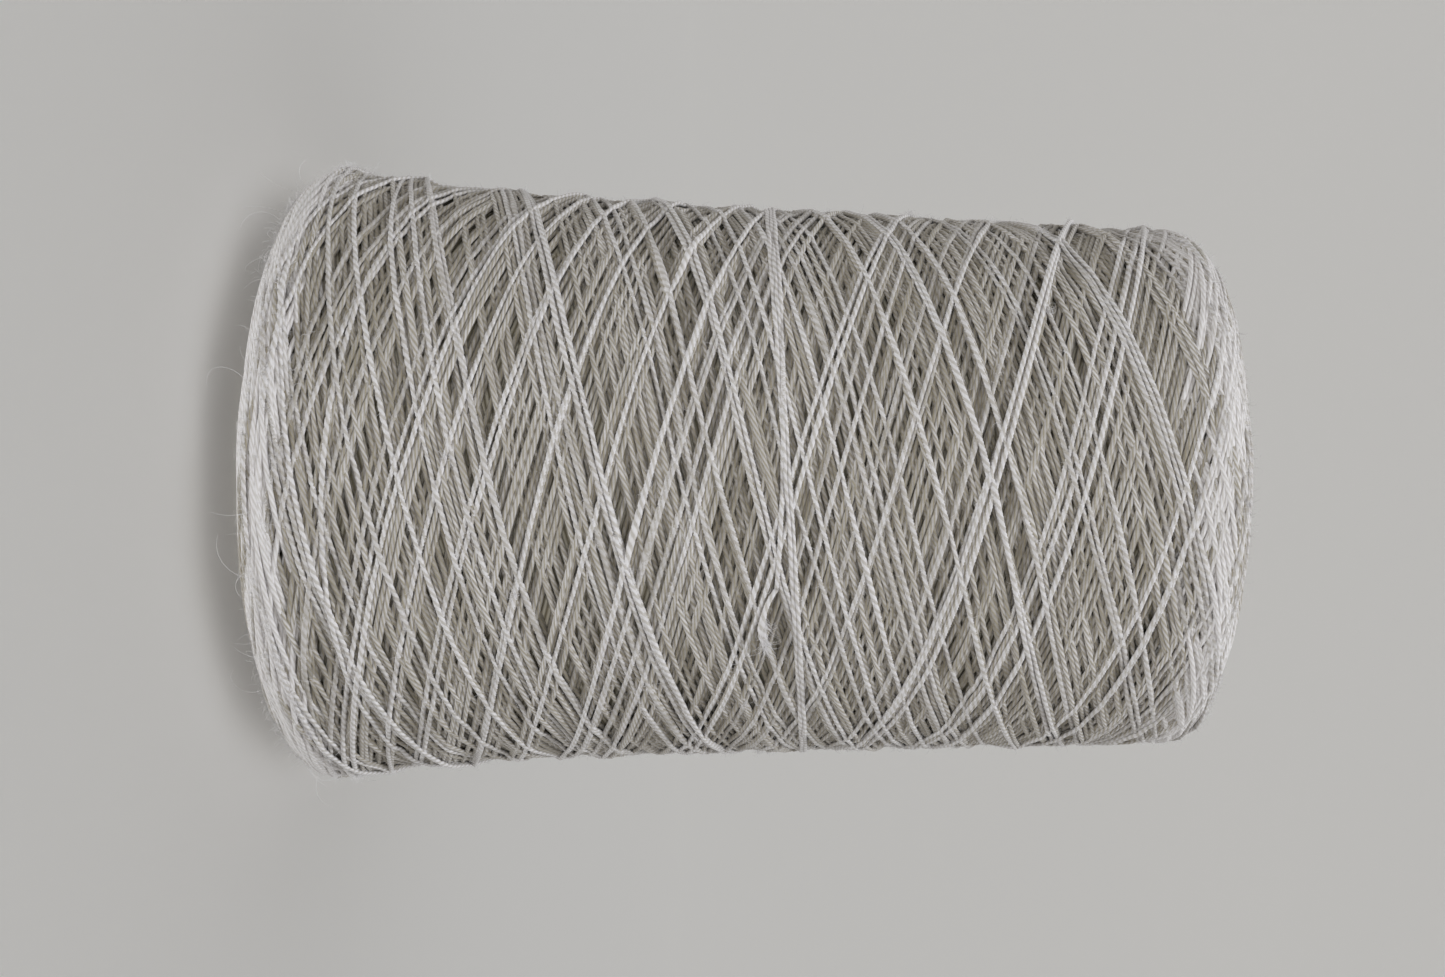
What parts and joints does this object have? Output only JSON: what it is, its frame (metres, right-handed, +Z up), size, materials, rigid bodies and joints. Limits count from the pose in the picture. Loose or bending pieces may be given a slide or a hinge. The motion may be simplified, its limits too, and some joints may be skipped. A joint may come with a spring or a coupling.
{
  "type": "thread spool",
  "caption": "Tapered cross-wound package of two-ply thread on a hollow paper cone, with the last turns tied round its middle; thread is drawn off over the narrow end.",
  "frame": {"origin": "centre of the cone's base rim, on the plane it stands on", "axes": "+Z up the package's axis from the wide base to the narrow nose; -Y is the side where the thread's end is tucked in"},
  "size_m": [0.1078, 0.1078, 0.161],
  "materials": {
    "thread": "undyed spun two-ply thread, matt and slightly hairy",
    "cone_board": "rolled kraft board, matt, cut edge shows its plies",
    "surface_paper": "kraft surface paper, matt"
  },
  "bodies": {
    "root": {"cone_board": "cone_board", "cone_surface_paper": "surface_paper", "transfer_tail": "thread", "winding_core": "thread", "winding_middle": "thread", "winding_outer": "thread", "waist_wrap": "thread", "yarn_end": "thread"}
  },
  "joints": []
}
